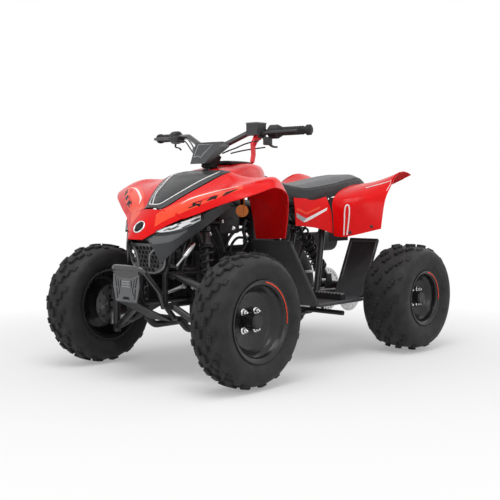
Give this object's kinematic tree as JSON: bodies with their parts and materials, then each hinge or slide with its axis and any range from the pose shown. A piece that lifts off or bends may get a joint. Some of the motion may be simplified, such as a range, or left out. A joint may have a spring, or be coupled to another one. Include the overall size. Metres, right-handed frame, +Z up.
{
  "type": "quad bike",
  "caption": "Youth quad bike with lugged tyres, tube frame, A-arm front suspension, swingarm rear end, moulded red body, seat and handlebar.",
  "frame": {"origin": "on the floor under the middle of the overall box", "axes": "+X forward, +Y to the rider's left, +Z up"},
  "size_m": [1.534, 0.972, 0.942],
  "materials": {
    "tyre": "matte",
    "rim": "gloss",
    "hub": "satin",
    "disc": "brushed",
    "bright": "polished",
    "frame": "satin",
    "spring": "satin",
    "damper": "satin",
    "bar": "satin",
    "grip": "matte",
    "switch": "matte",
    "engine": "cast",
    "bronze": "satin",
    "red": "gloss",
    "dark": "satin",
    "black": "matte",
    "seat": "matte",
    "lamp": "clear",
    "tail": "gloss",
    "amber": "gloss",
    "lever": "gloss",
    "exhaust": "matte"
  },
  "bodies": {
    "chassis": {"low_arms": "frame", "high_arms": "frame", "lower_frame": "frame", "front_frame": "frame", "upper_frame": "frame", "crankcase": "engine", "engine_covers": "bronze", "cylinder": "engine", "swingarm": "frame", "dampers": "damper", "springs": "spring", "drive_chain": "disc", "hood_panel": "dark", "nose_cowl": "red", "front_fenders": "red", "headlights": "lamp", "fascias": "dark", "side_covers": "red", "rear_fenders": "red", "tank_cover": "red", "seat": "seat", "rear_deck": "red", "console": "black", "footwells": "black", "foot_pegs": "frame", "front_bumper": "frame", "skid_plate": "black", "grille": "dark", "exhaust": "exhaust", "side_reflectors": "amber", "tail_light": "tail"},
    "steering": {"steering_stem": "frame", "handlebar": "bar", "grips": "grip", "switch_boxes": "switch", "bar_clamp": "bar", "pod": "dark", "reservoir": "black", "parking_lever": "lever"},
    "knuckle_left": {"knuckle_left": "frame"},
    "knuckle_right": {"knuckle_right": "frame"},
    "tie_rod_left": {"tie_rod_left": "damper"},
    "tie_rod_right": {"tie_rod_right": "damper"},
    "wheel_front_left": {"front_tyre_left": "tyre", "front_rim_left": "rim", "front_hub_left": "hub", "front_brake_disc_left": "disc"},
    "wheel_front_right": {"front_tyre_right": "tyre", "front_rim_right": "rim", "front_hub_right": "hub", "front_brake_disc_right": "disc"},
    "rear_axle": {"rear_tyres": "tyre", "rear_rims": "rim", "rear_axle": "hub", "sprocket": "disc", "rear_brake_disc": "disc"}
  },
  "joints": [
    {"name": "steering", "type": "hinge", "parent": "chassis", "child": "steering", "pos_m": [0.469, 0, 0.36], "axis": [-0.3541, 0, 0.9352], "range_deg": [-35, 35]},
    {"name": "knuckle_left", "type": "hinge", "parent": "chassis", "child": "knuckle_left", "pos_m": [0.529, 0.298, 0.238], "axis": [0, 0, 1], "range_deg": [-30, 30]},
    {"name": "wheel_spin_left", "type": "hinge", "parent": "knuckle_left", "child": "wheel_front_left", "pos_m": [0.529, 0.397, 0.238], "axis": [0, 1, 0], "continuous": true},
    {"name": "tie_rod_left", "type": "hinge", "parent": "knuckle_left", "child": "tie_rod_left", "pos_m": [0.471, 0.288, 0.205], "axis": [0, 0, 1], "range_deg": [-34, 34]},
    {"name": "knuckle_right", "type": "hinge", "parent": "chassis", "child": "knuckle_right", "pos_m": [0.529, -0.298, 0.238], "axis": [0, 0, 1], "range_deg": [-30, 30]},
    {"name": "wheel_spin_right", "type": "hinge", "parent": "knuckle_right", "child": "wheel_front_right", "pos_m": [0.529, -0.397, 0.238], "axis": [0, 1, 0], "continuous": true},
    {"name": "tie_rod_right", "type": "hinge", "parent": "knuckle_right", "child": "tie_rod_right", "pos_m": [0.471, -0.288, 0.205], "axis": [0, 0, 1], "range_deg": [-34, 34]},
    {"name": "rear_axle_spin", "type": "hinge", "parent": "chassis", "child": "rear_axle", "pos_m": [-0.537, 0, 0.23], "axis": [0, 1, 0], "continuous": true}
  ],
  "couplings": [
    {"joint": "knuckle_left", "follows": "steering", "ratio": 0.857},
    {"joint": "tie_rod_left", "follows": "steering", "ratio": -0.967},
    {"joint": "knuckle_right", "follows": "steering", "ratio": 0.857},
    {"joint": "tie_rod_right", "follows": "steering", "ratio": -0.967}
  ]
}
